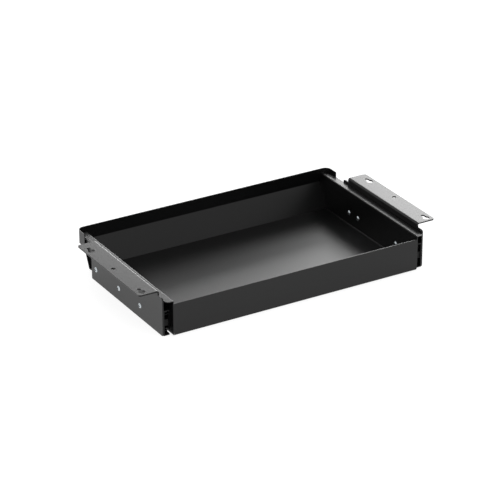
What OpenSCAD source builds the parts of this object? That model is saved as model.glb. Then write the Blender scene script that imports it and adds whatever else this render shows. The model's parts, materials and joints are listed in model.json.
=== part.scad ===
// Under-desk drawer: a folded sheet tray on two full-extension ball slides,
// hung from a pair of brackets that screw to the underside of a desk.
// +Z is up and z = 0 is the underside of the desk. The drawer opens towards -Y.
// The origin lies midway between the two round screw holes of the brackets.

/* [Tray] */
// Outside width across the two side walls
tray_w = 480; // [360:5:720]
// Depth from the back of the rear wall to the foot of the finger grip
tray_d = 291; // [240:1:480]
// Height of the rear wall
rear_h = 58; // [44:0.5:60]
// Height of the side walls, to the top of their flanges
side_h = 63.4; // [60:0.1:68]
// Sheet thickness of the tray, the side panels and the front
tray_t = 1.2; // [0.8:0.1:2]
// Inside radius of the bends in that sheet
tray_bend_r = 0.6; // [0.5:0.1:2]
// Corner radius of the side flanges at the rear
flange_corner_r = 8; // [2:0.5:10]

/* [Front] */
// Height of the sloping finger grip
grip_h = 46.7; // [44:0.1:60]
// How far the grip leans forward over its height
grip_lean = 21.4; // [10:0.1:30]
// How far each end of the grip stands past its side wall
grip_ear = 4; // [1:0.5:8]
// How far the foot of each ear runs back under the corner of the tray
ear_foot = 7; // [2:0.5:15]
// Height of the upright band above the grip
band_h = 24.5; // [20:0.1:35]
// How far the ends of the band stand in from the outer faces of the brackets
band_inset = 1; // [0:0.5:1]
// Outside corner radius of the band, seen from above
band_corner_r = 12; // [8:0.5:20]
// Length of the returned ends of the band, from its front face
return_l = 29; // [24:0.1:32]
// Gap between the top of the band and the desk
desk_gap = 4.8; // [2:0.1:10]

/* [Brackets] */
// Sheet thickness of the brackets
bracket_t = 2.5; // [1.5:0.1:3]
// Inside radius of the bracket bend
bracket_bend_r = 1.5; // [1:0.1:3]
// Width of the mounting flange outside the bracket web
mount_flange_w = 34; // [28:0.5:50]
// Outer corner radius of the mounting flange
mount_corner_r = 5; // [1:0.5:10]
// How far the web runs past each end of the flange
web_end_l = 15; // [10:0.5:20]
// How far the ends of the web stay below the desk
web_end_drop = 8; // [6:0.5:10]
// Radius of the round screw hole in the middle of each flange
desk_hole_r = 3.75; // [2:0.25:5]
// Radius of the wide end of a keyhole
key_head_r = 6; // [4.5:0.25:7]
// Radius of the narrow end of a keyhole
key_neck_r = 3.25; // [2:0.25:3.5]
// Distance from the wide end to the narrow end of a keyhole
key_run = 10.5; // [8:0.5:16]
// Distance of the narrow ends from the ends of the flange
key_inset = 21; // [18:0.5:30]
// Distance of the holes from the outer edge of the flange
hole_inset = 11; // [9:0.5:16]

/* [Slides] */
// Height of a slide
slide_h = 45.7; // [38:0.1:56]
// Room a slide takes up, from its bracket to the side wall
slide_t = 13.5; // [12.7:0.1:17]
// Length step in which slides are made
slide_step = 50; // [25:25:50]
// Height of the slide's centre line above the underside of the tray
slide_rise = 22; // [18:0.5:28]
// How far the tray stands out behind the slides
rear_overhang = 8; // [4:0.5:20]
// Thickness of the rail webs
rail_t = 1.2; // [1:0.1:1.5]
// Thickness of the outer and inner rails' lips
lip_t = 2; // [1.8:0.1:2.6]
// Thickness of the middle rail's lips, which carry balls on both faces
middle_lip_t = 2.6; // [2.4:0.1:3]
// Depth of the ball races in the lips
race_depth = 0.8; // [0.6:0.1:1]
// Diameter of the bearing balls
ball_d = 3.6; // [2.8:0.1:4.4]
// Number of balls in a row
balls_per_row = 6; // [4:1:9]
// Running clearance around a ball in its race
ball_clearance = 0.05; // [0.02:0.01:0.1]
// Thickness of the ball cages
cage_t = 0.5; // [0.4:0.1:0.6]
// Clearance between rails and cages, side by side
rail_gap = 0.4; // [0.3:0.05:0.6]
// Length of the rubber bumper behind the rails
bumper_l = 3; // [2:0.5:6]
// How far the bumper sits in from the rear end of the outer rail
bumper_inset = 2; // [0.5:0.5:8]

/* [Screws] */
// Radius of a screw's thread
screw_r = 2; // [1.5:0.25:2.5]
// Radius of a screw's head
screw_head_r = 4.75; // [3.5:0.25:5]
// Height of a screw's head
screw_head_h = 2.2; // [1.8:0.1:3]
// Distances of the front and middle bracket screws from the slide's front end
bracket_screw_front = 16; // [10:0.5:30]
bracket_screw_middle = 98; // [60:0.5:110]
// Distance of the rear bracket screw from the slide's rear end
bracket_screw_rear = 77.5; // [30:0.5:80]
// Distances of the two front tray screws from the slide's front end
tray_screw_front = 42; // [36:0.5:50]
tray_screw_middle = 71; // [62:0.5:90]
// Distance of the rear tray screw from the slide's rear end
tray_screw_rear = 58; // [20:0.5:70]

/* [Release levers] */
// Length of a release lever
lever_l = 34; // [24:0.5:36]
// Thickness of a release lever
lever_t = 3; // [2:0.1:3.4]
// Distance of the lever's pin from the slide's front end
lever_pin_at = 24; // [18:0.5:30]
// Radius of the lever's pin
lever_pin_r = 1.5; // [1.2:0.1:2]

/* [Hidden] */

$fn = 48;
// Straight steps in the rounded corner of an outline
corner_steps = 10;
// Extra length that lets a cutting shape run clear of what it cuts
past = 2;
// Clearances: side flange inside bracket, band ahead of bracket, screw in plate, screw in thread
side_clearance = 0.8;
band_clearance = 3;
hole_clearance = 0.2;
thread_clearance = 0.05;
// Gap between the rails and their bumper when the drawer is shut
shut_gap = 1;
// Notch under each end of the rear wall, beside the bend
rear_notch = 3;
// Radius of the relief holes where the bend under the band meets the side walls
relief_r = 1.2;
// Shape of the side flanges where they pass the corners of the band
flange_front_gap = 5;
flange_cut_l = 22;
flange_cut_w = 5.5;
flange_cut_near_r = 2;
flange_cut_far_r = 8;
// Corner radii of the band's returned ends, at the free lower and upper corners
return_low_r = 7;
return_high_r = 1.5;
// Corner radii of the bracket's web: along the foot, at its ends, beside the flange
web_foot_r = 2;
web_end_r = 4;
web_relief_r = 1.5;
// Foot of a side panel, from its outer face to where it meets the floor
foot_w = 4;

// Heights
tray_bottom = -(desk_gap + band_h + grip_h);
floor_top = tray_bottom + tray_t;
band_bottom = tray_bottom + grip_h;
flange_top = tray_bottom + side_h;
rear_top = tray_bottom + rear_h;
slide_z = tray_bottom + slide_rise;
slide_bottom = slide_z - slide_h / 2;

// Widths, measured from the middle plane
wall_out = tray_w / 2;
wall_in = wall_out - tray_t;
web_in = wall_out + slide_t;
web_out = web_in + bracket_t;
mount_edge = web_out + mount_flange_w;
hole_x = mount_edge - hole_inset;
flange_edge = web_in - side_clearance;
floor_edge = wall_out - foot_w;
band_end = web_out - band_inset;

// Depths: the slide is the longest stock length that leaves room for the front
front_room = rear_overhang + return_l - grip_lean - tray_t + band_clearance;
slide_l = slide_step * floor((tray_d - front_room) / slide_step);
slide_front = -slide_l / 2;
slide_rear = slide_l / 2;
rear_y = slide_rear + rear_overhang;
foot_y = rear_y - tray_d;
band_in = foot_y - grip_lean;
band_out = band_in - tray_t;
mount_flange_l = slide_l - 2 * web_end_l;
key_y = mount_flange_l / 2 - key_inset;

// Lean of the grip: how far forward it goes for each millimetre up
lean = grip_lean / (grip_h - tray_t);
grip_cut = tray_t * sqrt(1 + lean * lean);
function grip_in(z) = foot_y - lean * (z - floor_top);
function grip_out(z) = grip_in(z) - grip_cut;
band_outer_bend = floor_top + (foot_y - grip_cut - band_out) / lean;

// Section of a slide: u from the bracket towards the tray, v from its centre line
race_gap = ball_d - 2 * race_depth + 2 * ball_clearance;
outer_race_v = slide_h / 2 - lip_t;
outer_ball_v = outer_race_v - race_gap / 2;
middle_top_v = outer_race_v - race_gap;
middle_race_v = middle_top_v - middle_lip_t;
inner_ball_v = middle_race_v - race_gap / 2;
inner_top_v = middle_race_v - race_gap;
cavity_v = inner_top_v - lip_t;
outer_cage_u = rail_t + rail_gap;
middle_u = outer_cage_u + cage_t + rail_gap;
inner_cage_u = middle_u + rail_t + rail_gap;
inner_u = inner_cage_u + cage_t + rail_gap;
race_r = ball_d / 2 + ball_clearance;
race_wall = 0.35;
ball_u = inner_u + race_wall + race_r;
cage_edge_u = ball_u + race_r + race_wall;
hook_t = 0.8;
hook_drop = 0.9;
outer_u = cage_edge_u + rail_gap + hook_t;
cage_arm_t = 0.8;

// Travel of the drawer, and the rails and cages that share it
travel = slide_l;
bumper_front = slide_rear - bumper_inset - bumper_l;
rail_rear = bumper_front - shut_gap;
cage_margin = 1;
cage_front = slide_front + travel / 4 + cage_margin;
cage_rear = rail_rear - travel / 4 - cage_margin;
ball_inset = 6;
ball_pitch = (cage_rear - cage_front - 2 * ball_inset) / (balls_per_row - 1);

// Screw places along the slide
bracket_screw_ys = [
    slide_front + bracket_screw_front,
    slide_front + bracket_screw_middle,
    slide_rear - bracket_screw_rear,
];
tray_screw_ys = [
    slide_front + tray_screw_front,
    slide_front + tray_screw_middle,
    slide_rear - tray_screw_rear,
];
screw_tip = 0.2;

// Release lever and its pin
lever_y = slide_front + lever_pin_at;
lever_gap = 0.6;
lever_u = slide_t - rail_t - lever_gap - lever_t;
lever_h = cavity_v * 0.6;
lever_back = 0.35 * lever_l;
lever_boss_r = 0.75 * lever_h;
lever_tip_r = 1;
lever_heel_r = 1.5;
pin_head_t = 0.8;

// Colours
powder_black = [0.09, 0.09, 0.095];
rail_black = [0.05, 0.05, 0.055];
zinc = [0.75, 0.79, 0.8];
bright_steel = [0.82, 0.83, 0.85];
cage_zinc = [0.6, 0.6, 0.58];
rubber_black = [0.03, 0.03, 0.03];

// ---- Outlines with rounded corners ----

function unit(v) = v / norm(v);

// Points of the arc that rounds the corner at b, between a and c
function corner_arc(a, b, c, r) =
    r == 0 ? [b] :
    let (
        u = unit(a - b),
        w = unit(c - b),
        half = acos(u * w) / 2,
        centre = b + unit(u + w) * r / sin(half),
        first = b + u * r / tan(half) - centre,
        last = b + w * r / tan(half) - centre,
        start = atan2(first[1], first[0]),
        turn = atan2(first[0] * last[1] - first[1] * last[0], first * last)
    )
    [for (i = [0:corner_steps]) let (angle = start + turn * i / corner_steps)
        centre + r * [cos(angle), sin(angle)]];

// An outline from corners [x, y, radius]
function rounded(corners) =
    let (n = len(corners), at = [for (p = corners) [p[0], p[1]]])
    [for (i = [0:n - 1])
        each corner_arc(at[(i + n - 1) % n], at[i], at[(i + 1) % n], corners[i][2])];

// A drawing in Y and Z, pulled out along X to both sides of the middle
module along_x(width) rotate([90, 0, 90]) linear_extrude(width, center = true) children();

// A drawing in X and Z, pulled out from y_front to y_rear
module along_y(y_front, y_rear)
    translate([0, y_rear, 0]) rotate([90, 0, 0]) linear_extrude(y_rear - y_front) children();

// A drawing in X and Y, pulled out from z_low to z_high
module along_z(z_low, z_high) translate([0, 0, z_low]) linear_extrude(z_high - z_low) children();

// A cylinder across the part, from x_low to x_high
module cross_cylinder(x_low, x_high, y, z, r)
    translate([x_low, y, z]) rotate([0, 90, 0]) cylinder(h = x_high - x_low, r = r);

module on_left() mirror([1, 0, 0]) children();

// ---- Tray ----

module tray_floor() color(powder_black) {
    along_x(2 * floor_edge)
        polygon(rounded([
            [grip_in(tray_bottom), tray_bottom, 0],
            [rear_y, tray_bottom, tray_bend_r + tray_t],
            [rear_y, rear_top, 0],
            [rear_y - tray_t, rear_top, 0],
            [rear_y - tray_t, floor_top, tray_bend_r],
            [foot_y, floor_top, 0],
        ]));
    // Ends of the rear wall, over the rear edges of the side panels
    along_y(rear_y - tray_t, rear_y)
        for (x = [-wall_out, floor_edge])
            translate([x, tray_bottom + rear_notch]) square([foot_w, rear_h - rear_notch]);
}

// Upright wall with a foot that meets the floor and a flange on top that covers the slide
module side_panel() color(powder_black) difference() {
    intersection() {
        along_y(band_in, rear_y)
            polygon(rounded([
                [wall_in, floor_top, tray_bend_r],
                [floor_edge, floor_top, 0],
                [floor_edge, tray_bottom, 0],
                [wall_out, tray_bottom, tray_bend_r + tray_t],
                [wall_out, flange_top - tray_t, tray_bend_r],
                [flange_edge, flange_top - tray_t, 0],
                [flange_edge, flange_top, 0],
                [wall_in, flange_top, tray_bend_r + tray_t],
            ]));
        along_x(2 * web_in)
            polygon([
                [grip_in(tray_bottom), tray_bottom],
                [rear_y - tray_t, tray_bottom],
                [rear_y - tray_t, rear_top],
                [rear_y, rear_top],
                [rear_y, flange_top],
                [band_in, flange_top],
                [band_in, band_bottom],
            ]);
        along_z(tray_bottom, flange_top)
            polygon(rounded([
                [floor_edge, rear_y, 0],
                [floor_edge, band_in, 0],
                [wall_out, band_in, 0],
                [wall_out, band_in + flange_front_gap, 0],
                [flange_edge - flange_cut_w, band_in + flange_front_gap, flange_cut_near_r],
                [flange_edge, band_in + flange_front_gap + flange_cut_l, flange_cut_far_r],
                [flange_edge, rear_y, flange_corner_r],
            ]));
    }
    for (y = tray_screw_ys)
        cross_cylinder(wall_in - past, wall_out + past, y, slide_z, screw_r + hole_clearance);
}

// Sloping grip, upright band and the band's returned ends
module front_panel() color(powder_black) difference() {
    union() {
        along_x(2 * (wall_out + grip_ear))
            polygon([
                [grip_in(tray_bottom), tray_bottom],
                [band_in, band_bottom],
                [band_in, -desk_gap],
                [band_out, -desk_gap],
                [band_out, band_outer_bend],
                [grip_out(tray_bottom), tray_bottom],
            ]);
        for (side = [-1, 1])
            along_z(tray_bottom, floor_top)
                polygon(rounded([
                    [side * wall_out, foot_y - grip_cut / 2, 0],
                    [side * (wall_out + grip_ear), foot_y - grip_cut / 2, 0],
                    [side * (wall_out + grip_ear), foot_y + ear_foot, grip_ear / 2],
                    [side * wall_out, foot_y + ear_foot, 0],
                ]));
        intersection() {
            along_z(band_bottom, -desk_gap) band_plan();
            along_x(2 * web_out)
                polygon(rounded([
                    [band_out, -desk_gap, 0],
                    [band_out, band_bottom, 0],
                    [band_out + return_l, band_bottom, return_low_r],
                    [band_out + return_l, -desk_gap, return_high_r],
                ]));
        }
    }
    for (side = [-1, 1])
        translate([side * wall_out, band_in, band_bottom])
            rotate([90, 0, 0]) cylinder(h = 4 * tray_t, r = relief_r, center = true);
}

// The band from above: a shallow U with round corners
module band_plan() difference() {
    polygon(rounded([
        [band_end, band_out + return_l, 0],
        [-band_end, band_out + return_l, 0],
        [-band_end, band_out, band_corner_r],
        [band_end, band_out, band_corner_r],
    ]));
    polygon(rounded([
        [band_end - tray_t, band_out + return_l + past, 0],
        [-band_end + tray_t, band_out + return_l + past, 0],
        [-band_end + tray_t, band_in, band_corner_r - tray_t],
        [band_end - tray_t, band_in, band_corner_r - tray_t],
    ]));
}

// ---- Brackets ----

module bracket() color(powder_black) difference() {
    intersection() {
        along_y(slide_front, slide_rear)
            polygon(rounded([
                [web_in, slide_bottom, 0],
                [web_out, slide_bottom, 0],
                [web_out, -bracket_t, bracket_bend_r],
                [mount_edge, -bracket_t, 0],
                [mount_edge, 0, 0],
                [web_in, 0, bracket_bend_r + bracket_t],
            ]));
        along_x(2 * mount_edge)
            polygon(rounded([
                [slide_front, slide_bottom, web_foot_r],
                [slide_rear, slide_bottom, web_foot_r],
                [slide_rear, -web_end_drop, web_end_r],
                [mount_flange_l / 2, -web_end_drop, web_relief_r],
                [mount_flange_l / 2, 0, 0],
                [-mount_flange_l / 2, 0, 0],
                [-mount_flange_l / 2, -web_end_drop, web_relief_r],
                [slide_front, -web_end_drop, web_end_r],
            ]));
        along_z(slide_bottom, 0)
            polygon(rounded([
                [web_in, slide_rear, 0],
                [web_in, slide_front, 0],
                [web_out, slide_front, 0],
                [web_out, -mount_flange_l / 2, 0],
                [mount_edge, -mount_flange_l / 2, mount_corner_r],
                [mount_edge, mount_flange_l / 2, mount_corner_r],
                [web_out, mount_flange_l / 2, 0],
                [web_out, slide_rear, 0],
            ]));
    }
    translate([hole_x, 0, -bracket_t - past]) cylinder(h = bracket_t + 2 * past, r = desk_hole_r);
    for (y = [-key_y, key_y]) translate([hole_x, y, -bracket_t - past]) keyhole(bracket_t + 2 * past);
    for (y = bracket_screw_ys)
        cross_cylinder(web_in - past, web_out + past, y, slide_z, screw_r + hole_clearance);
}

// Keyhole with its narrow end at the origin and its wide end behind it
module keyhole(depth) {
    cylinder(h = depth, r = key_neck_r);
    translate([-key_neck_r, 0, 0]) cube([2 * key_neck_r, key_run, depth]);
    translate([0, key_run, 0]) cylinder(h = depth, r = key_head_r);
}

// ---- Slides ----

// A slide's section drawn in u and v, pulled out along Y on the right-hand side
module along_slide(y_front, y_rear)
    translate([web_in, 0, slide_z]) mirror([1, 0, 0]) along_y(y_front, y_rear) children();

// A bar of a section that is the same above and below the centre line
module bars_uv(u_low, u_high, v_low, v_high)
    for (v = [-v_high, v_low]) translate([u_low, v]) square([u_high - u_low, v_high - v_low]);

module races_uv(v) for (side = [-1, 1]) translate([ball_u, side * v]) circle(r = race_r);

module web_uv(u, v, thickness) translate([u, -v]) square([thickness, 2 * v]);

module rail_holes(ys, x_low, x_high)
    for (y = ys) cross_cylinder(x_low - past, x_high + past, y, slide_z, screw_r + thread_clearance);

module outer_rail() color(rail_black) difference() {
    along_slide(slide_front, slide_rear) difference() {
        union() {
            web_uv(0, slide_h / 2, rail_t);
            bars_uv(0, outer_u, outer_race_v, slide_h / 2);
            bars_uv(outer_u - hook_t, outer_u, outer_race_v - hook_drop, slide_h / 2);
        }
        races_uv(outer_ball_v);
    }
    rail_holes(bracket_screw_ys, web_in - rail_t, web_in);
}

module middle_rail() color(rail_black) along_slide(slide_front, rail_rear) difference() {
    union() {
        web_uv(middle_u, middle_top_v, rail_t);
        bars_uv(middle_u, outer_u - hook_t, middle_race_v, middle_top_v);
    }
    races_uv(outer_ball_v);
    races_uv(inner_ball_v);
}

module inner_rail() color(rail_black) difference() {
    along_slide(slide_front, rail_rear) difference() {
        union() {
            web_uv(slide_t - rail_t, inner_top_v, rail_t);
            bars_uv(inner_u, slide_t, cavity_v, inner_top_v);
        }
        races_uv(inner_ball_v);
    }
    rail_holes(tray_screw_ys, wall_out, wall_out + rail_t);
    lever_bore();
}

// Bore for the lever's pin, from inside the tray to past the lever
module lever_bore()
    cross_cylinder(wall_out - past, web_in, lever_y, slide_z, lever_pin_r + thread_clearance);

// Places of the balls of one pair of rows
module at_balls(v)
    for (i = [0:balls_per_row - 1], side = [-1, 1])
        translate([web_in - ball_u, cage_front + ball_inset + i * ball_pitch, slide_z + side * v])
            children();

// Bent strip that spaces the balls of one pair of rows
module cage(u, v) color(cage_zinc) difference() {
    along_slide(cage_front, cage_rear) {
        web_uv(u, v + cage_arm_t / 2, cage_t);
        bars_uv(u, cage_edge_u, v - cage_arm_t / 2, v + cage_arm_t / 2);
    }
    at_balls(v) cylinder(h = 3 * cage_arm_t, r = race_r, center = true);
}

module outer_cage() cage(outer_cage_u, outer_ball_v);

module inner_cage() cage(inner_cage_u, inner_ball_v);

module outer_balls() color(bright_steel) at_balls(outer_ball_v) sphere(d = ball_d);

module inner_balls() color(bright_steel) at_balls(inner_ball_v) sphere(d = ball_d);

// Block inside the rear of the outer rail, with two fingers that hold the inner rail shut
module rail_bumper() color(rubber_black) {
    finger_u = inner_u + lip_t;
    finger_low_v = cavity_v / 4;
    finger_high_v = cavity_v / 2;
    finger_l = 8;
    along_slide(bumper_front, bumper_front + bumper_l)
        translate([rail_t, -finger_high_v]) square([cage_edge_u - rail_t, 2 * finger_high_v]);
    along_slide(rail_rear - finger_l, bumper_front)
        bars_uv(finger_u, cage_edge_u, finger_low_v, finger_high_v);
}

// ---- Release lever ----

module release_lever() color(rubber_black) difference() {
    translate([web_in - lever_u - lever_t / 2, lever_y, slide_z]) along_x(lever_t) {
        circle(r = lever_boss_r);
        polygon(rounded([
            [-lever_back, -lever_h / 2, lever_heel_r],
            [lever_l - lever_back, -lever_h / 4, lever_tip_r],
            [lever_l - lever_back, lever_h / 4, lever_tip_r],
            [-lever_back, lever_h / 2, lever_heel_r],
        ]));
    }
    lever_bore();
}

// Rivet through the inner rail, with its head on the lever
module lever_pin() color(zinc) {
    head_x = web_in - lever_u + thread_clearance;
    cross_cylinder(wall_out, head_x, lever_y, slide_z, lever_pin_r);
    cross_cylinder(head_x, head_x + pin_head_t, lever_y, slide_z, 2 * lever_pin_r);
}

// ---- Screws ----

// Screw along X, with its head on x = 0 and its thread towards -X
module screw(length) {
    recess_l = 1.15 * screw_head_r;
    recess_w = 1.3;
    recess_t = 2.6;
    difference() {
        rotate([0, 90, 0]) rotate_extrude() intersection() {
            dome_r = (screw_head_r ^ 2 + screw_head_h ^ 2) / (2 * screw_head_h);
            translate([0, screw_head_h - dome_r]) circle(r = dome_r, $fn = 96);
            square([screw_head_r, screw_head_h]);
        }
        for (turn = [0, 90])
            translate([screw_head_h, 0, 0])
                rotate([turn, 0, 0]) cube([recess_t, recess_w, recess_l], center = true);
    }
    cross_cylinder(-length, 0, 0, 0, screw_r);
}

module bracket_screws() color(zinc)
    for (y = bracket_screw_ys)
        translate([web_out, y, slide_z]) screw(bracket_t + rail_t + screw_tip);

module tray_screws() color(zinc)
    for (y = tray_screw_ys)
        translate([wall_in, y, slide_z]) mirror([1, 0, 0]) screw(tray_t + rail_t + screw_tip);

// ---- Nodes ----

module side_panel_left() on_left() side_panel();
module side_panel_right() side_panel();
module bracket_left() on_left() bracket();
module bracket_right() bracket();
module outer_rail_left() on_left() outer_rail();
module outer_rail_right() outer_rail();
module middle_rail_left() on_left() middle_rail();
module middle_rail_right() middle_rail();
module inner_rail_left() on_left() inner_rail();
module inner_rail_right() inner_rail();
module outer_cage_left() on_left() outer_cage();
module outer_cage_right() outer_cage();
module inner_cage_left() on_left() inner_cage();
module inner_cage_right() inner_cage();
module outer_balls_left() on_left() outer_balls();
module outer_balls_right() outer_balls();
module inner_balls_left() on_left() inner_balls();
module inner_balls_right() inner_balls();
module rail_bumper_left() on_left() rail_bumper();
module rail_bumper_right() rail_bumper();
module release_lever_left() on_left() release_lever();
module release_lever_right() release_lever();
module lever_pin_left() on_left() lever_pin();
module lever_pin_right() lever_pin();
module bracket_screws_left() on_left() bracket_screws();
module bracket_screws_right() bracket_screws();
module tray_screws_left() on_left() tray_screws();
module tray_screws_right() tray_screws();

tray_floor();
side_panel_left();
side_panel_right();
front_panel();
bracket_left();
bracket_right();
outer_rail_left();
outer_rail_right();
middle_rail_left();
middle_rail_right();
inner_rail_left();
inner_rail_right();
outer_cage_left();
outer_cage_right();
inner_cage_left();
inner_cage_right();
outer_balls_left();
outer_balls_right();
inner_balls_left();
inner_balls_right();
rail_bumper_left();
rail_bumper_right();
release_lever_left();
release_lever_right();
lever_pin_left();
lever_pin_right();
bracket_screws_left();
bracket_screws_right();
tray_screws_left();
tray_screws_right();
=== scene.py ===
"""Looks of an under-desk drawer: a black sheet-metal tray on two ball slides, hung from desk brackets.

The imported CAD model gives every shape, size and place. Each CAD node is redrawn here as a clean mesh whose
cut edges and folds are softened, and is finished with the coat, plate or plastic of the real piece.
"""

import json
import logging
import math
from dataclasses import dataclass
from enum import Enum
from typing import Any, ClassVar

import bmesh
import bpy
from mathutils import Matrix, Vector

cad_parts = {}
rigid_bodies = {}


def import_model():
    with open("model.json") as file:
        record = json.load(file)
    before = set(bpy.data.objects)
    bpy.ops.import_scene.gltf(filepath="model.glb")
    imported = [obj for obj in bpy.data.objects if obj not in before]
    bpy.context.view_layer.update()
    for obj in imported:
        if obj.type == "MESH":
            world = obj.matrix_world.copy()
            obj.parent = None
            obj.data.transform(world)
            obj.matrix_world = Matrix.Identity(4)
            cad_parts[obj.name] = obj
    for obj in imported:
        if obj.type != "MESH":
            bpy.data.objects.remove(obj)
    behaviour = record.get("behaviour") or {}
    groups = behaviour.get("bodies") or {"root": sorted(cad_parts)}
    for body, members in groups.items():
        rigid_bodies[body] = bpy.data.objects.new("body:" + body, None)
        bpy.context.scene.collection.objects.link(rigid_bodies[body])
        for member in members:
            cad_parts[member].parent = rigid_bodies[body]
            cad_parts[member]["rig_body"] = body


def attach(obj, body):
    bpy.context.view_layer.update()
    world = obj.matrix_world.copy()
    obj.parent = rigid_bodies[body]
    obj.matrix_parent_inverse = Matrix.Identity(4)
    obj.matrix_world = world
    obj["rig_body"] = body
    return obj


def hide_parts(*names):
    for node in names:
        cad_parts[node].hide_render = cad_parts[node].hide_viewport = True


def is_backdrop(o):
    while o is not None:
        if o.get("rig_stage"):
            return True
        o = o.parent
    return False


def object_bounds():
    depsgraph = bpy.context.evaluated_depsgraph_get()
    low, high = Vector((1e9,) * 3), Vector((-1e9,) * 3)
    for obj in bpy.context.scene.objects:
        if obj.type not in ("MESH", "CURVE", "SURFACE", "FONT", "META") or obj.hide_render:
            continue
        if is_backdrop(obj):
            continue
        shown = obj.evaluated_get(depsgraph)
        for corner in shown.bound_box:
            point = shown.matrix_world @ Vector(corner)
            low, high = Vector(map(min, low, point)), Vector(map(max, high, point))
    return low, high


LOG = logging.getLogger("drawer")

MM = 0.001

# Names of the marks stored on each mesh for its finish to read.
EDGE_MARK = "edge"
RECESS_MARK = "recess"

Colour = tuple[float, float, float]


class Side(Enum):
    """The two hands of the drawer."""

    LEFT = "left"
    RIGHT = "right"


# ---- Shader maths ----


@dataclass(frozen=True)
class Value:
    """One output socket of a node tree, for use in Python sums."""

    tree: "NodeTree"
    socket: bpy.types.NodeSocket

    def _maths(self, operation: str, *operands: Any) -> "Value":
        """Adds a Math node that works on the operands."""
        return self.tree.node("ShaderNodeMath", {"operation": operation}, dict(enumerate(operands)))

    def __add__(self, other: Any) -> "Value":
        """Returns the sum."""
        return self._maths("ADD", self, other)

    def __radd__(self, other: Any) -> "Value":
        """Returns the sum."""
        return self._maths("ADD", other, self)

    def __sub__(self, other: Any) -> "Value":
        """Returns the difference."""
        return self._maths("SUBTRACT", self, other)

    def __rsub__(self, other: Any) -> "Value":
        """Returns the reflected difference."""
        return self._maths("SUBTRACT", other, self)

    def __mul__(self, other: Any) -> "Value":
        """Returns the product."""
        return self._maths("MULTIPLY", self, other)

    def __rmul__(self, other: Any) -> "Value":
        """Returns the product."""
        return self._maths("MULTIPLY", other, self)

    def swing(self, spread: float) -> "Value":
        """Returns how far a value from 0 to 1 is from its middle, times the spread."""
        return spread * (self - 0.5)

    def at_least(self, least: float) -> "Value":
        """Returns a value from 0 to 1 squeezed into the range from the least to 1."""
        return least + (1.0 - least) * self


@dataclass
class NodeTree:
    """A material's node tree."""

    material: bpy.types.Material

    @classmethod
    def new(cls, name: str) -> "NodeTree":
        """Starts an empty tree in a new material.

        Args:
            name: Name of the material.

        Returns:
            The tree.
        """
        material = bpy.data.materials.new(name)
        material.use_nodes = True
        material.node_tree.nodes.clear()
        return cls(material)

    def node(
        self,
        kind: str,
        settings: dict[str, Any] | None = None,
        inputs: dict[int | str, Any] | None = None,
        output: int | str = 0,
    ) -> Value:
        """Adds one node.

        Args:
            kind: Blender's type name of the node.
            settings: Properties of the node, set before its sockets.
            inputs: Number, colour or Value for each input socket, by index or name.
            output: Index or name of the output socket wanted.

        Returns:
            That output.
        """
        made = self.material.node_tree.nodes.new(kind)
        for name, setting in (settings or {}).items():
            setattr(made, name, setting)
        for name, wanted in (inputs or {}).items():
            if isinstance(wanted, Value):
                self.material.node_tree.links.new(wanted.socket, made.inputs[name])
            else:
                made.inputs[name].default_value = wanted
        return Value(self, made.outputs[output])

    def position(self, stretch: tuple[float, float, float] = (1.0, 1.0, 1.0)) -> Value:
        """Returns the place on the object, in metres, scaled along each axis."""
        place = self.node("ShaderNodeTexCoord", output="Object")
        return self.node("ShaderNodeMapping", {"vector_type": "POINT"}, {"Vector": place, "Scale": stretch})

    def noise(
        self,
        size: float,
        detail: float = 2.0,
        stretch: tuple[float, float, float] = (1.0, 1.0, 1.0),
    ) -> Value:
        """Returns a noise from 0 to 1, of a lump size in metres, finer detail and a scale of each axis."""
        inputs = {"Vector": self.position(stretch), "Scale": 1.0 / size, "Detail": detail}
        return self.node("ShaderNodeTexNoise", {"noise_dimensions": "3D"}, inputs, "Fac")

    def attribute(self, name: str) -> Value:
        """Returns a value stored on the mesh, or 0 on a mesh without it."""
        return self.node("ShaderNodeAttribute", {"attribute_name": name}, output="Fac")

    def between(self, mask: Value, low: Colour | Value, high: Colour | Value) -> Value:
        """Mixes two colours.

        Args:
            mask: 0 gives low and 1 gives high.
            low: Linear red, green and blue, or an output that gives a colour.
            high: The same.

        Returns:
            The mixed colour.
        """
        ends = [end if isinstance(end, Value) else (*end, 1.0) for end in (low, high)]
        inputs = {"Factor": mask, 6: ends[0], 7: ends[1]}
        return self.node("ShaderNodeMix", {"data_type": "RGBA"}, inputs, 2)

    def bumps(self, height: Value, depth: float) -> Value:
        """Returns a normal tilted by a height from 0 to 1 that stands for depth metres."""
        return self.node("ShaderNodeBump", {}, {"Height": height, "Distance": depth}, "Normal")

    def surface(self, shader: Value) -> None:
        """Sends a shader to the material's output."""
        made = self.material.node_tree.nodes.new("ShaderNodeOutputMaterial")
        self.material.node_tree.links.new(shader.socket, made.inputs["Surface"])


# ---- Finishes ----


@dataclass(frozen=True)
class Finish:
    """What every finish has: a name and a material made once."""

    name: str
    made: ClassVar[dict[str, bpy.types.Material]] = {}

    def material(self) -> bpy.types.Material:
        """Makes the finish's material when it is first asked for.

        Returns:
            The material.
        """
        if self.name not in self.made:
            tree = NodeTree.new(self.name)
            tree.surface(self.shader(tree))
            self.made[self.name] = tree.material
        return self.made[self.name]

    def shader(self, tree: NodeTree) -> Value:
        """Draws the finish into a tree. Each kind of finish has its own."""
        raise NotImplementedError


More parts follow.
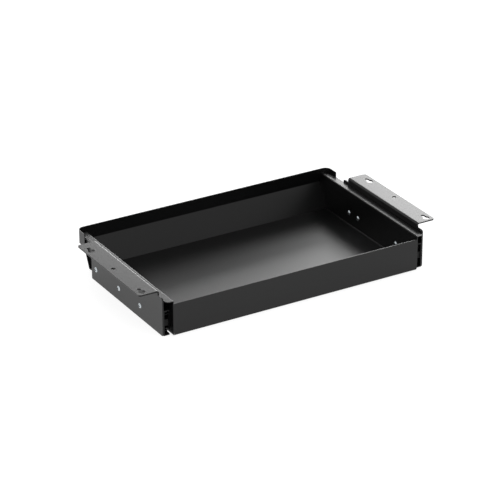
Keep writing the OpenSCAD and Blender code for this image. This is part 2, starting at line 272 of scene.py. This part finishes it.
@dataclass(frozen=True)
class PowderCoat(Finish):
    """Stoved powder coat: a fine orange-peel skin, a little shinier on the edges, with a painted highlight
    along them.

    Attributes:
        peel_size: Length of one lump of the orange peel.
        grain_size: Length of one grain of the powder.
        cloud_size: Length of the broad patches of duller and shinier coat.
        highlight_patch_size: Length of the patches that break up the painted edge highlight.
        least_highlight: Strength of the painted edge highlight between those patches, where 1 is the most.
        cloud_dulling: Spread of the roughness over the broad patches.
        grain_dulling: Spread of the roughness over the grains.
        edge_shine: Roughness lost where the painted edge highlight is strongest.
    """

    name: str = "powder_coat"
    colour: Colour = (0.003, 0.003, 0.0031)
    # Painted highlight: the lighter colour put on the rounded edges.
    edge_highlight_colour: Colour = (0.005, 0.005, 0.0052)
    roughness: float = 0.31
    peel_size: float = 0.9 * MM
    peel_depth: float = 0.0025 * MM
    grain_size: float = 0.16 * MM
    grain_depth: float = 0.0008 * MM
    cloud_size: float = 45.0 * MM
    highlight_patch_size: float = 2.5 * MM
    least_highlight: float = 0.35
    cloud_dulling: float = 0.02
    grain_dulling: float = 0.03
    edge_shine: float = 0.05
    ior: float = 1.38

    def shader(self, tree: NodeTree) -> Value:
        """Draws the coat.

        Args:
            tree: The tree to draw in.

        Returns:
            The shader.
        """
        cloud = tree.noise(self.cloud_size, detail=3.0).swing(self.cloud_dulling)
        grain = tree.noise(self.grain_size, detail=1.0)
        peel = tree.noise(self.peel_size, detail=1.5)
        highlight_patches = tree.noise(self.highlight_patch_size, detail=3.0).at_least(self.least_highlight)
        # Painted highlight: the rounded edges, broken into patches, lighten the coat's colour and lower its
        # roughness.
        highlit_edge = tree.attribute(EDGE_MARK) * highlight_patches
        skin = peel * (self.peel_depth / MM) + grain * (self.grain_depth / MM)
        dulling = cloud + grain.swing(self.grain_dulling) - self.edge_shine * highlit_edge
        inputs = {
            "Base Color": tree.between(highlit_edge, self.colour, self.edge_highlight_colour),
            "Roughness": self.roughness + dulling,
            "IOR": self.ior,
            "Normal": tree.bumps(skin, MM),
        }
        return tree.node("ShaderNodeBsdfPrincipled", {}, inputs)


@dataclass(frozen=True)
class RailCoat(Finish):
    """Thin black electro-coat on rolled steel, with a painted highlight along the edges.

    Attributes:
        draw_size: Distance between the lines left by the rolls.
        draw_stretch: Scale of the lines' pattern; they run along Y.
        smudge_size: Length of the patches of duller coat, which also break up the painted edge highlight.
        least_highlight: Strength of the painted edge highlight between those patches, where 1 is the most.
        smudge_dulling: Spread of the roughness over the patches.
        draw_dulling: Spread of the roughness over the lines.
    """

    name: str = "rail_coat"
    colour: Colour = (0.003, 0.003, 0.0032)
    # Painted highlight: the lighter colour put on the rounded edges.
    highlight_colour: Colour = (0.008, 0.008, 0.0083)
    roughness: float = 0.4
    ior: float = 1.3
    draw_size: float = 0.35 * MM
    draw_depth: float = 0.0015 * MM
    draw_stretch: tuple[float, float, float] = (1.0, 0.02, 1.0)
    smudge_size: float = 18.0 * MM
    least_highlight: float = 0.3
    smudge_dulling: float = 0.12
    draw_dulling: float = 0.05

    def shader(self, tree: NodeTree) -> Value:
        """Draws the coat over lines left by the rolls.

        Args:
            tree: The tree to draw in.

        Returns:
            The shader.
        """
        lines = tree.noise(self.draw_size, detail=2.0, stretch=self.draw_stretch)
        smudge = tree.noise(self.smudge_size, detail=4.0)
        # Painted highlight on the rounded edges, broken up by the smudge patches.
        highlit_edge = tree.attribute(EDGE_MARK) * smudge.at_least(self.least_highlight)
        dulling = smudge.swing(self.smudge_dulling) + lines.swing(self.draw_dulling)
        inputs = {
            "Base Color": tree.between(highlit_edge, self.colour, self.highlight_colour),
            "Roughness": self.roughness + dulling,
            "IOR": self.ior,
            "Normal": tree.bumps(lines, self.draw_depth),
        }
        return tree.node("ShaderNodeBsdfPrincipled", {}, inputs)


@dataclass(frozen=True)
class Plate(Finish):
    """Plated or bare metal with fine scratches, a mottled haze and painted shade on faces marked as a recess.

    Attributes:
        mottle_size: Length of one patch of haze.
        scratch_size: Distance between scratches.
        scratch_stretch: Scale of the scratches' pattern; they run along Y.
        mottle_dulling: Spread of the roughness over the haze.
        scratch_dulling: Spread of the roughness over the scratches.
        recess_shade_dulling: Roughness gained where the recess shade is painted.
    """

    colour: Colour = (0.6, 0.64, 0.66)
    haze_colour: Colour = (0.42, 0.46, 0.49)
    roughness: float = 0.24
    mottle_size: float = 1.6 * MM
    scratch_depth: float = 0.001 * MM
    scratch_size: float = 0.2 * MM
    scratch_stretch: tuple[float, float, float] = (1.0, 0.25, 1.0)
    # Painted shade: the dark, dull, unmetallic colour put in recesses.
    recess_shade_colour: Colour = (0.02, 0.021, 0.022)
    mottle_dulling: float = 0.16
    scratch_dulling: float = 0.08
    recess_shade_dulling: float = 0.4

    def shader(self, tree: NodeTree) -> Value:
        """Draws the plate.

        Args:
            tree: The tree to draw in.

        Returns:
            The shader.
        """
        mottle = tree.noise(self.mottle_size, detail=4.0)
        scratch = tree.noise(self.scratch_size, detail=3.0, stretch=self.scratch_stretch)
        # Painted shade in the recesses that a mesh marks, 0 elsewhere.
        recess_shade = tree.attribute(RECESS_MARK)
        clean = tree.between(mottle, self.haze_colour, self.colour)
        dulling = mottle.swing(self.mottle_dulling) + scratch.swing(self.scratch_dulling)
        inputs = {
            "Base Color": tree.between(recess_shade, clean, self.recess_shade_colour),
            "Metallic": 1.0 - recess_shade,
            "Roughness": self.roughness + dulling + self.recess_shade_dulling * recess_shade,
            "Normal": tree.bumps(scratch, self.scratch_depth),
        }
        return tree.node("ShaderNodeBsdfPrincipled", {}, inputs)


@dataclass(frozen=True)
class Moulded(Finish):
    """Moulded plastic or rubber with a spark-eroded grain.

    Attributes:
        dust_size: Length of one patch of dust.
        dust_dulling: Spread of the roughness over the dust.
    """

    colour: Colour = (0.003, 0.003, 0.0032)
    dust_colour: Colour = (0.007, 0.0067, 0.0064)
    roughness: float = 0.55
    ior: float = 1.3
    grain_size: float = 0.3 * MM
    grain_depth: float = 0.006 * MM
    dust_size: float = 6.0 * MM
    dust_dulling: float = 0.1

    def shader(self, tree: NodeTree) -> Value:
        """Draws the plastic.

        Args:
            tree: The tree to draw in.

        Returns:
            The shader.
        """
        grain = tree.noise(self.grain_size, detail=2.0)
        dust = tree.noise(self.dust_size, detail=4.0)
        inputs = {
            "Base Color": tree.between(dust * dust, self.colour, self.dust_colour),
            "Roughness": self.roughness + dust.swing(self.dust_dulling),
            "IOR": self.ior,
            "Normal": tree.bumps(grain, self.grain_depth),
        }
        return tree.node("ShaderNodeBsdfPrincipled", {}, inputs)


@dataclass(frozen=True)
class FloorPaint(Finish):
    """The studio's pale floor, with a faint glow of its own that keeps shadows light."""

    name: str = "studio_floor"
    colour: Colour = (0.3, 0.3, 0.3)
    roughness: float = 0.9
    glow: float = 0.84

    def shader(self, tree: NodeTree) -> Value:
        """Draws the floor.

        Args:
            tree: The tree to draw in.

        Returns:
            The shader.
        """
        inputs = {
            "Base Color": (*self.colour, 1.0),
            "Roughness": self.roughness,
            "Specular IOR Level": 0.0,
            "Emission Color": (1.0, 1.0, 1.0, 1.0),
            "Emission Strength": self.glow,
        }
        return tree.node("ShaderNodeBsdfPrincipled", {}, inputs)


POWDER = PowderCoat()
RAIL = RailCoat()
ZINC = Plate("screw_zinc")
CAGE = Plate(
    "cage_zinc",
    colour=(0.5, 0.5, 0.47),
    haze_colour=(0.33, 0.34, 0.33),
    roughness=0.36,
    mottle_size=3.0 * MM,
)
BALL_STEEL = Plate(
    "ball_steel",
    colour=(0.72, 0.73, 0.75),
    haze_colour=(0.66, 0.67, 0.7),
    roughness=0.1,
    mottle_size=2.0 * MM,
    scratch_depth=0.0002 * MM,
)
RUBBER = Moulded("rubber", roughness=0.62)
PLASTIC = Moulded(
    "plastic",
    colour=(0.009, 0.009, 0.009),
    roughness=0.42,
    ior=1.45,
    grain_depth=0.004 * MM,
)


# ---- Mesh work ----


def span_across(node: str) -> tuple[float, float]:
    """Returns the distances of a CAD node's nearest and farthest points from the middle plane."""
    distances = [abs(vert.co.x) for vert in bpy.data.objects[node].data.vertices]
    return min(distances), max(distances)


@dataclass
class Redrawing:
    """A CAD node drawn again as one clean mesh with softened edges.

    Attributes:
        node: Name of the CAD node.
        finish: What the piece is finished with.
        edge_radius: How far each sharp edge is cut back as it is rounded.
        edge_steps: Number of faces across a rounded edge.
        seam: Distance from the middle plane where edges stay sharp, if anywhere.
        sharpest_smooth: Largest turn of an edge that is left as it is.
        flattest_fold: Smallest turn that counts as a fold and not as a line across a flat face.
        same_place: Points closer than this are one point.
        flat_weight: How strongly broad faces hold the normals beside them, up to 100.
    """

    node: str
    finish: Finish
    edge_radius: float = 0.2 * MM
    edge_steps: int = 2
    seam: float | None = None
    sharpest_smooth: float = math.radians(28.0)
    flattest_fold: float = math.radians(0.5)
    same_place: float = 0.001 * MM
    flat_weight: int = 60

    def build(self) -> bpy.types.Object:
        """Makes the piece, dresses it and lets it stand for its CAD node.

        Returns:
            The new object.
        """
        source = bpy.data.objects[self.node]
        mesh = bpy.data.meshes.new(self.node + "_piece")
        shape = bmesh.new()
        shape.from_mesh(source.data)
        self._merge(shape)
        self._soften(shape)
        shape.to_mesh(mesh)
        shape.free()
        piece = bpy.data.objects.new(self.node + "_piece", mesh)
        bpy.context.scene.collection.objects.link(piece)
        mesh.materials.clear()
        mesh.materials.append(self.finish.material())
        self._weigh_normals(piece)
        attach(piece, source["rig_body"])
        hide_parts(self.node)
        LOG.info("%s: %d faces", piece.name, len(mesh.polygons))
        return piece

    def _merge(self, shape: bmesh.types.BMesh) -> None:
        """Joins the CAD mesh's loose triangles and clears the lines across its flat faces.

        Args:
            shape: The mesh.
        """
        bmesh.ops.remove_doubles(shape, verts=shape.verts, dist=self.same_place)
        bmesh.ops.dissolve_limit(
            shape,
            angle_limit=self.flattest_fold,
            use_dissolve_boundaries=False,
            verts=shape.verts,
            edges=shape.edges,
            delimit={"NORMAL"},
        )

    def _soften(self, shape: bmesh.types.BMesh) -> None:
        """Rounds the sharp edges and marks the rounded faces, where the finish paints a highlight.

        Args:
            shape: The mesh.
        """
        # Marks the rounded faces, where the coats paint a highlight.
        mark = shape.faces.layers.float.new(EDGE_MARK)
        for face in shape.faces:
            face.smooth = True
        sharp = [e for e in shape.edges if self._is_sharp(e) and not self._is_on_seam(e)]
        if sharp and self.edge_radius > 0:
            rounded = bmesh.ops.bevel(
                shape,
                geom=sharp,
                offset=self.edge_radius,
                offset_type="OFFSET",
                affect="EDGES",
                segments=self.edge_steps,
                profile=0.5,
                material=-1,
                clamp_overlap=True,
            )
            for face in rounded["faces"]:
                face[mark] = 1.0
                face.smooth = True

    def _is_sharp(self, edge: bmesh.types.BMEdge) -> bool:
        """Says whether an edge turns far enough to be rounded."""
        return edge.is_manifold and edge.calc_face_angle(0.0) > self.sharpest_smooth

    def _is_on_seam(self, edge: bmesh.types.BMEdge) -> bool:
        """Says whether an edge lies where the sheet runs on into the next piece."""
        if self.seam is None:
            return False
        return all(abs(abs(vert.co.x) - self.seam) < self.same_place for vert in edge.verts)

    def _weigh_normals(self, piece: bpy.types.Object) -> None:
        """Keeps broad faces flat beside their rounded edges.

        Args:
            piece: The finished piece.
        """
        weigh = piece.modifiers.new("flat_faces", "WEIGHTED_NORMAL")
        weigh.mode = "FACE_AREA"
        weigh.weight = self.flat_weight
        weigh.keep_sharp = True


@dataclass
class ScrewSet(Redrawing):
    """A CAD node of screws along X, with painted shade in the recess of each head.

    Attributes:
        heads_from: The heads lie farther than this from the middle plane.
        heads_to: The heads lie nearer than this to the middle plane.
        flat: How far a face may lean, as a part of 1, and still be a wall or the bottom of a recess.
    """

    edge_radius: float = 0.1 * MM
    heads_from: float = 0.0
    heads_to: float = math.inf
    flat: float = 0.02

    def _soften(self, shape: bmesh.types.BMesh) -> None:
        """Rounds the edges and marks the recesses, the only flat faces inside a domed head, for painted
        shade.

        Args:
            shape: The mesh.
        """
        # Marks the faces that get painted shade.
        mark = shape.faces.layers.float.new(RECESS_MARK)
        for face in shape.faces:
            along = abs(face.normal.x)
            is_flat = along < self.flat or along > 1.0 - self.flat**2
            if is_flat and self.heads_from < abs(face.calc_center_median().x) < self.heads_to:
                face[mark] = 1.0
        super()._soften(shape)


# ---- Sub-assemblies ----


@dataclass
class FoldedTray:
    """The tray's four sheet pieces: floor with rear wall, two side panels and the front."""

    edge_radius: float = 0.15 * MM
    edge_steps: int = 3

    def build(self) -> list[bpy.types.Object]:
        """Makes the sheets. Floor and side panels meet flush at the seam on each side.

        Returns:
            The four pieces.
        """
        names = ["tray_floor", "side_panel_left", "side_panel_right", "front_panel"]
        seam = span_across("side_panel_right")[0]
        return [Redrawing(name, POWDER, self.edge_radius, self.edge_steps, seam).build() for name in names]


@dataclass
class DeskBracket:
    """One bracket and the three screws that hold a slide to it."""

    side: Side
    edge_radius: float = 0.12 * MM

    def build(self) -> list[bpy.types.Object]:
        """Makes the bracket and its screws.

        Returns:
            The two pieces.
        """
        hand = self.side.value
        rail_face = span_across(f"outer_rail_{hand}")[1]
        return [
            Redrawing(f"bracket_{hand}", POWDER, self.edge_radius).build(),
            ScrewSet(f"bracket_screws_{hand}", ZINC, heads_from=rail_face).build(),
        ]


@dataclass
class BallSlide:
    """One slide: rails, ball cages and balls, a bumper, a release lever and the tray's screws."""

    side: Side
    rail_edge: float = 0.2 * MM
    cage_edge: float = 0.06 * MM
    bumper_edge: float = 0.35 * MM
    lever_edge: float = 0.3 * MM
    pin_edge: float = 0.12 * MM

    def build(self) -> list[bpy.types.Object]:
        """Makes the slide. Its balls have no edges to round.

        Returns:
            The slide's pieces, with the screws that hold the tray to it.
        """
        hand = self.side.value
        rails = [f"{name}_rail_{hand}" for name in ("outer", "middle", "inner")]
        pieces = [Redrawing(name, RAIL, self.rail_edge).build() for name in rails]
        for row in ("outer", "inner"):
            pieces.append(Redrawing(f"{row}_cage_{hand}", CAGE, self.cage_edge).build())
            pieces.append(Redrawing(f"{row}_balls_{hand}", BALL_STEEL, edge_radius=0.0).build())
        pieces.append(Redrawing(f"rail_bumper_{hand}", RUBBER, self.bumper_edge).build())
        pieces.append(Redrawing(f"release_lever_{hand}", PLASTIC, self.lever_edge).build())
        pieces.append(Redrawing(f"lever_pin_{hand}", ZINC, self.pin_edge).build())
        rail_face = span_across(f"inner_rail_{hand}")[0]
        pieces.append(ScrewSet(f"tray_screws_{hand}", ZINC, heads_to=rail_face).build())
        return pieces


# ---- Studio ----


def direction(azimuth: float, elevation: float) -> Vector:
    """Returns the unit vector at degrees round from the front, towards +X, and above the horizon."""
    turn, rise = math.radians(azimuth), math.radians(elevation)
    return Vector((math.sin(turn) * math.cos(rise), -math.cos(turn) * math.cos(rise), math.sin(rise)))


@dataclass
class SoftBox:
    """A rectangular light, aimed at a point.

    Attributes:
        name: Name of the light.
        aim: The point.
        azimuth: Degrees round the point from the front, towards +X.
        elevation: Degrees above the horizon.
        width: Width, in metres.
        height: Height, in metres.
        radiance: Brightness of its face, in watts per square metre and steradian.
        distance: Distance from the point, in metres.
    """

    name: str
    aim: Vector
    azimuth: float
    elevation: float
    width: float
    height: float
    radiance: float
    distance: float = 2.6

    def build(self) -> bpy.types.Object:
        """Adds the light. Its power follows from its radiance and its area.

        Returns:
            The light.
        """
        lamp = bpy.data.lights.new(self.name, "AREA")
        lamp.shape = "RECTANGLE"
        lamp.size = self.width
        lamp.size_y = self.height
        lamp.energy = self.radiance * math.pi * self.width * self.height
        holder = bpy.data.objects.new(self.name, lamp)
        bpy.context.scene.collection.objects.link(holder)
        away = direction(self.azimuth, self.elevation)
        holder.location = self.aim + away * self.distance
        holder.rotation_euler = away.to_track_quat("Z", "Y").to_euler()
        holder.visible_camera = False
        return holder


@dataclass
class Studio:
    """Pale floor, even sky, soft lights and the camera.

    Attributes:
        azimuth: Degrees from the front to the camera, towards +X.
        elevation: Degrees from the horizon up to the camera.
        distance: Distance from the aim to the camera, in metres.
        lens: Focal length, in millimetres.
        sensor: Width of the camera's sensor, in millimetres.
        farthest: Distance beyond which the camera sees nothing, in metres.
        aim: What the camera looks at.
        floor_half: Half the length of the floor.
        floor_gap: How far the floor lies below the object.
        sky: Brightness of the even light.
        key_shift: How far beside the object the key light is aimed.
    """

    azimuth: float = 149.317
    elevation: float = 25.8
    distance: float = 4.381
    lens: float = 185.7
    sensor: float = 36.0
    farthest: float = 200.0
    aim: tuple[float, float, float] = (0.0295, 0.0235, -0.0174)
    floor_half: float = 30.0
    floor_gap: float = 0.3 * MM
    sky: float = 0.9
    key_shift: float = -0.35

    def build(self, lowest: float) -> None:
        """Sets up everything round the object.

        Args:
            lowest: Height of the object's lowest point, in metres.
        """
        self._camera()
        self._floor(lowest - self.floor_gap)
        self._sky()
        centre = Vector((0.0, 0.0, lowest))
        beside = centre + Vector((self.key_shift, 0.0, 0.0))
        lamps = [
            SoftBox("key_light", beside, azimuth=-34.0, elevation=13.0, width=2.1, height=1.0, radiance=6.0),
            SoftBox("side_light", centre, azimuth=-46.0, elevation=33.0, width=0.8, height=0.7, radiance=8.0),
            SoftBox("top_light", centre, azimuth=20.0, elevation=80.0, width=1.2, height=1.2, radiance=0.8),
        ]
        for lamp in lamps:
            lamp.build()

    def _camera(self) -> None:
        """Adds the camera."""
        data = bpy.data.cameras.new("camera")
        data.lens = self.lens
        data.sensor_width = self.sensor
        data.clip_end = self.farthest
        camera = bpy.data.objects.new("camera", data)
        bpy.context.scene.collection.objects.link(camera)
        away = direction(self.azimuth, self.elevation)
        camera.location = Vector(self.aim) + away * self.distance
        camera.rotation_euler = away.to_track_quat("Z", "Y").to_euler()
        bpy.context.scene.camera = camera

    def _floor(self, height: float) -> None:
        """Adds the floor.

        Args:
            height: Height of the floor, in metres.
        """
        shape = bmesh.new()
        bmesh.ops.create_grid(shape, x_segments=1, y_segments=1, size=self.floor_half)
        bmesh.ops.translate(shape, verts=shape.verts, vec=(0.0, 0.0, height))
        mesh = bpy.data.meshes.new("studio_floor")
        shape.to_mesh(mesh)
        shape.free()
        mesh.materials.append(FloorPaint().material())
        floor = bpy.data.objects.new("studio_floor", mesh)
        bpy.context.scene.collection.objects.link(floor)
        floor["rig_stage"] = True

    def _sky(self) -> None:
        """Fills the room with even light."""
        world = bpy.data.worlds.new("room")
        world.use_nodes = True
        background = world.node_tree.nodes["Background"]
        background.inputs["Color"].default_value = (1.0, 1.0, 1.0, 1.0)
        background.inputs["Strength"].default_value = self.sky
        scene = bpy.context.scene
        scene.world = world
        scene.view_settings.view_transform = "Standard"


def main() -> None:
    """Builds the drawer's looks and the studio round it."""
    logging.basicConfig(level=logging.INFO)
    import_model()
    cad_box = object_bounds()
    pieces = FoldedTray().build()
    for side in Side:
        pieces += DeskBracket(side).build()
        pieces += BallSlide(side).build()
    LOG.info("%d pieces", len(pieces))
    Studio().build(cad_box[0][2])


if __name__ == "__main__":
    main()
